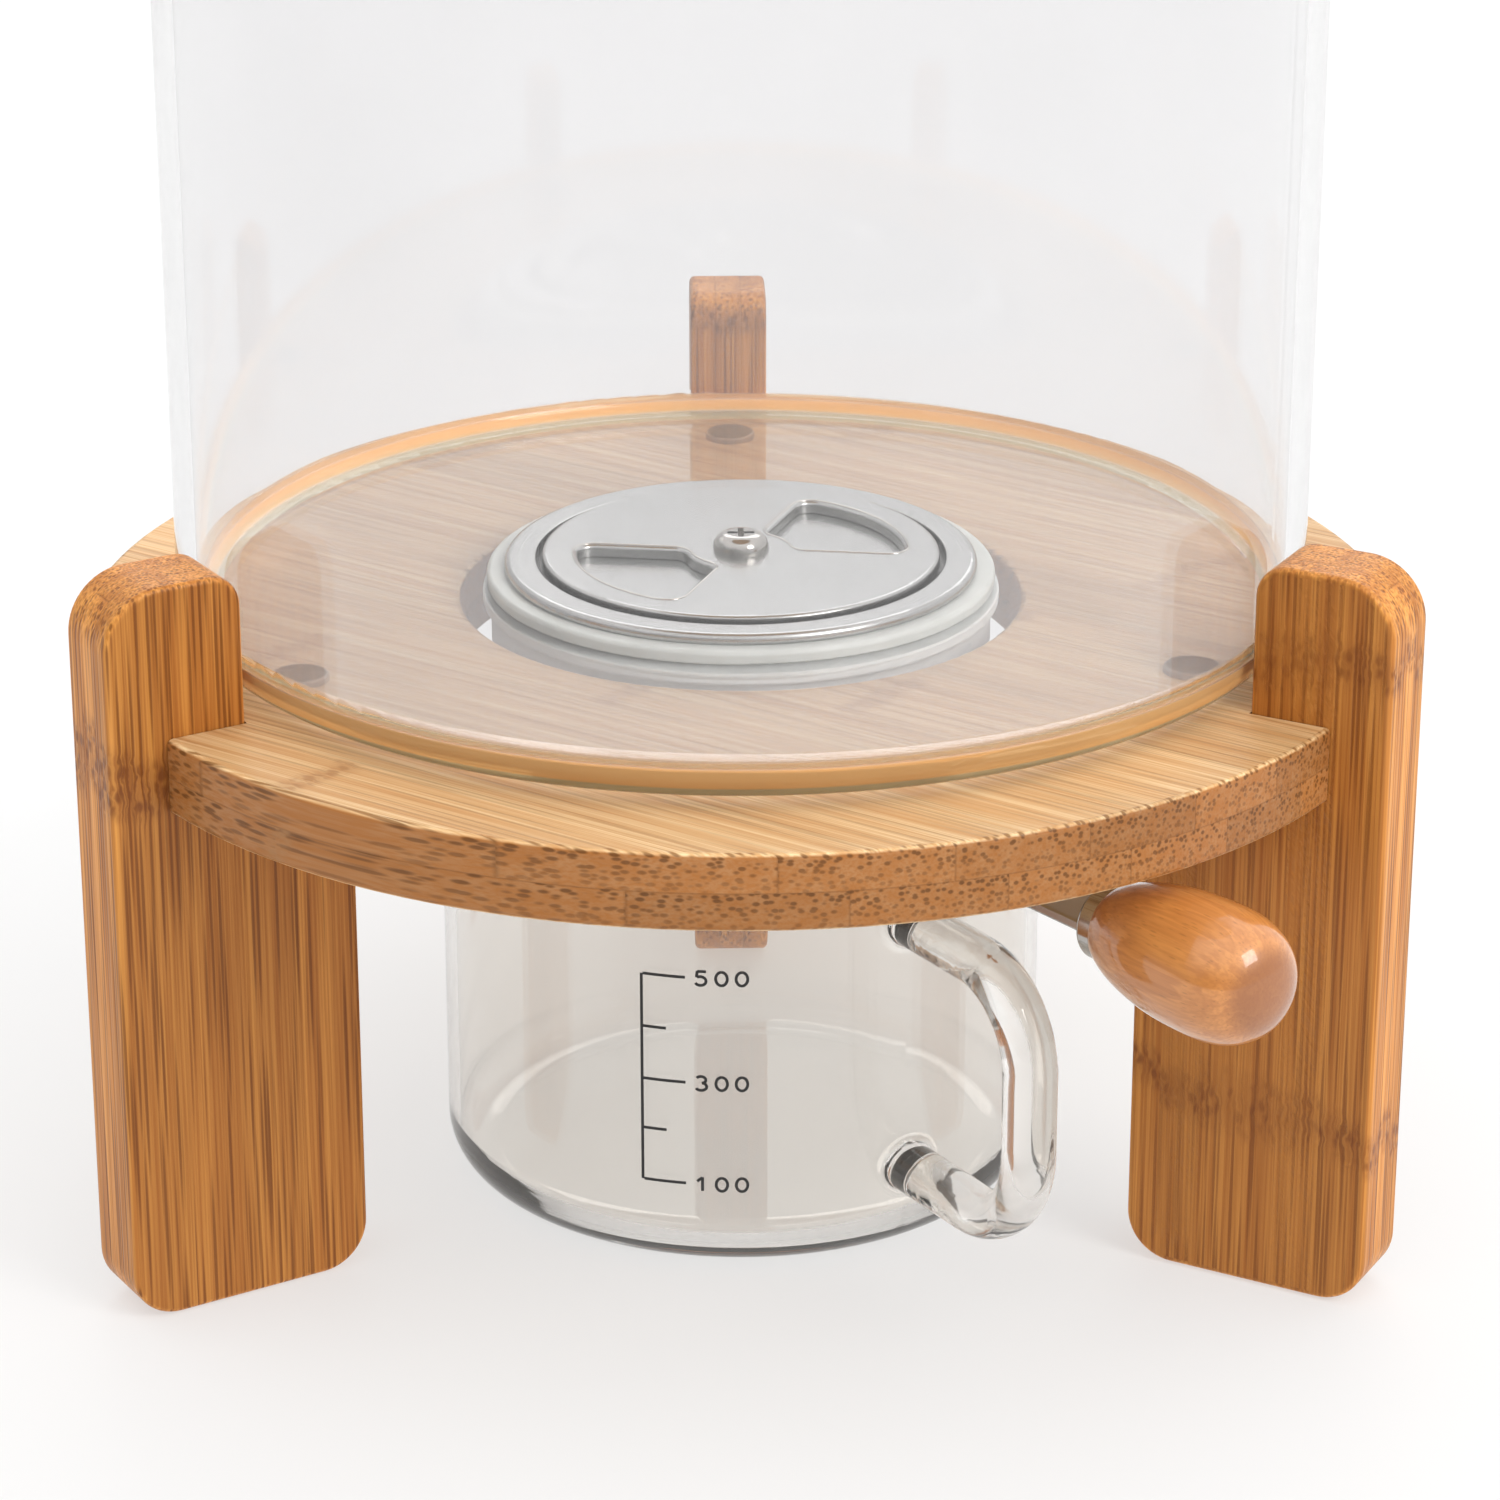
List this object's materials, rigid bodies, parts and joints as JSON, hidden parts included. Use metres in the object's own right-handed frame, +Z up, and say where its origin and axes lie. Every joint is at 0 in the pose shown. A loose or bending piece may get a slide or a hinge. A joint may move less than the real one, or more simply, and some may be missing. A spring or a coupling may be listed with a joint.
{
  "type": "dry food dispenser",
  "caption": "Glass cylinder on a bamboo stand with a rotary shutter valve worked by a knobbed lever, over a glass measuring cup.",
  "frame": {"origin": "on the table plane, on the glass vessel's axis", "axes": "+Z up along the vessel's axis, -Y towards the user, the rear leg on +Y"},
  "size_m": [0.245, 0.2557, 0.4192],
  "materials": {
    "board_bamboo": "clear-lacquered two-ply bamboo board, fine strips across the face",
    "leg_bamboo": "clear-lacquered bamboo plank, grain along the leg",
    "knob_wood": "turned hardwood under gloss varnish",
    "lid_bamboo": "clear-lacquered bamboo",
    "vessel_glass": "clear borosilicate glass",
    "cup_glass": "clear borosilicate glass",
    "satin_steel": "satin stainless steel",
    "polished_steel": "polished stainless steel",
    "zinc_steel": "zinc-plated screws",
    "grey_silicone": "light grey food-grade silicone",
    "pad_silicone": "grey-brown translucent silicone",
    "nut_plastic": "light grey moulded plastic",
    "bush_plastic": "natural white plastic",
    "clear_silicone": "milky silicone"
  },
  "bodies": {
    "stand": {"stand_board": "board_bamboo", "leg_rear": "leg_bamboo", "leg_left": "leg_bamboo", "leg_right": "leg_bamboo", "leg_screws": "zinc_steel", "glass_pads": "pad_silicone", "glass_cylinder": "vessel_glass", "valve_body": "satin_steel", "gasket_upper": "grey_silicone", "gasket_lower": "grey_silicone", "lock_nut": "nut_plastic", "shaft_bushing": "bush_plastic"},
    "valve": {"valve_rotor": "satin_steel", "rotor_screw": "polished_steel", "valve_shaft": "polished_steel", "thrust_washer": "bush_plastic", "seat_spring": "polished_steel", "lever_arm": "satin_steel", "lever_washer": "polished_steel", "lever_screw": "polished_steel", "knob_ferrule": "polished_steel", "knob_stud": "zinc_steel", "lever_knob": "knob_wood"},
    "lid": {"lid_board": "lid_bamboo", "lid_plug": "lid_bamboo", "lid_seal": "clear_silicone", "lid_knob": "knob_wood", "lid_knob_screw": "zinc_steel"},
    "cup": {"measuring_cup": "cup_glass"}
  },
  "joints": [
    {"name": "valve_turn", "type": "hinge", "parent": "stand", "child": "valve", "pos_m": [0, 0, 0.082], "axis": [0, 0, -1], "range_deg": [0, 80]},
    {"name": "lid_lift", "type": "slide", "parent": "stand", "child": "lid", "axis": [0, 0, 1], "range_m": [0, 0.12]},
    {"name": "cup_slide", "type": "slide", "parent": "stand", "child": "cup", "axis": [0, -1, 0], "range_m": [0, 0.24]}
  ]
}
